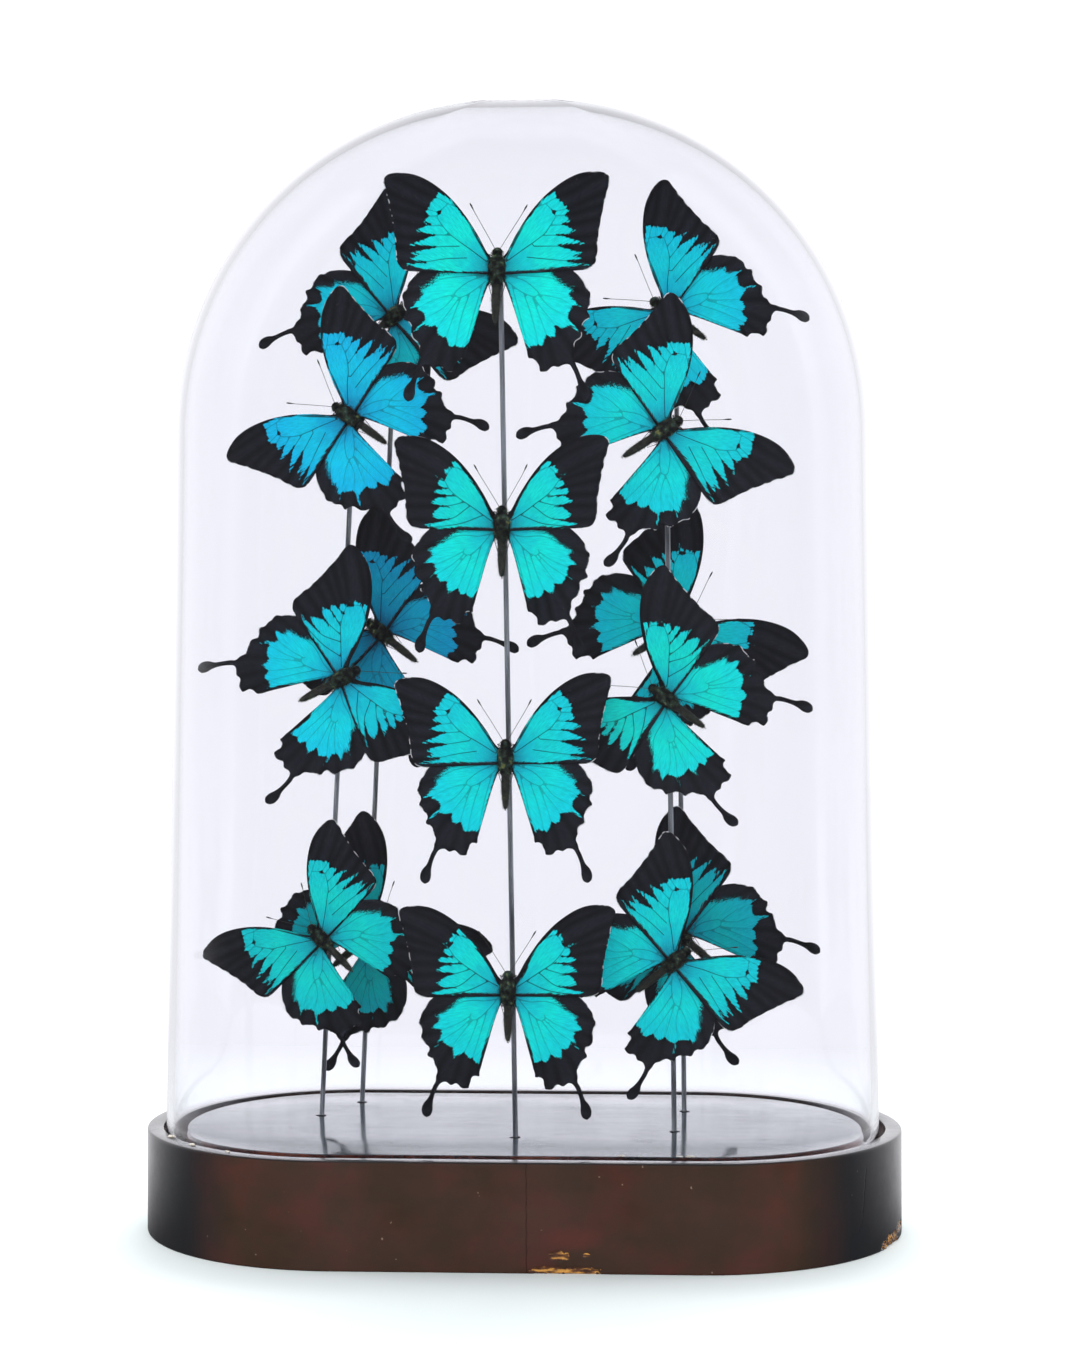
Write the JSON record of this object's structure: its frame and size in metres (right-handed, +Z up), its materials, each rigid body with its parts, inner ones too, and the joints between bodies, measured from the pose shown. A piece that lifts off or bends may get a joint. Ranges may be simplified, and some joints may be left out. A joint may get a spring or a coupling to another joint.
{
  "type": "insect in glass dome",
  "caption": "Tailed blue and green swallowtail butterflies on thin steel rods under an oblong glass dome on a dark veneered base.",
  "frame": {"origin": "middle of the base's underside", "axes": "+Z up; +X along the base's length; the butterflies' upper sides face -Y, the front"},
  "size_m": [0.325, 0.178, 0.486],
  "materials": {
    "base_veneer": "dark stained veneer, polished, worn and chipped at the edges",
    "board_polish": "dark polished veneer with a fine straight grain",
    "dome_glass": "clear blown glass with a soft polish",
    "rod_steel": "drawn steel wire, dulled to dark grey",
    "butterfly_green": "dry scaled wings, black with turquoise patches, and furry bodies",
    "butterfly_blue": "dry scaled wings, black with blue patches, and furry bodies"
  },
  "bodies": {
    "root": {"base": "base_veneer", "board": "board_polish", "glass_dome": "dome_glass", "rod_center": "rod_steel", "rod_left_front": "rod_steel", "rod_left_back": "rod_steel", "rod_right_front": "rod_steel", "rod_right_back": "rod_steel", "butterfly_center_1": "butterfly_green", "butterfly_center_2": "butterfly_green", "butterfly_center_3": "butterfly_green", "butterfly_center_4": "butterfly_green", "butterfly_left_front_1": "butterfly_green", "butterfly_left_front_2": "butterfly_green", "butterfly_left_front_3": "butterfly_green", "butterfly_left_back_1": "butterfly_blue", "butterfly_left_back_2": "butterfly_blue", "butterfly_left_back_3": "butterfly_blue", "butterfly_right_front_1": "butterfly_green", "butterfly_right_front_2": "butterfly_green", "butterfly_right_front_3": "butterfly_green", "butterfly_right_back_1": "butterfly_blue", "butterfly_right_back_2": "butterfly_blue", "butterfly_right_back_3": "butterfly_blue"}
  },
  "joints": []
}
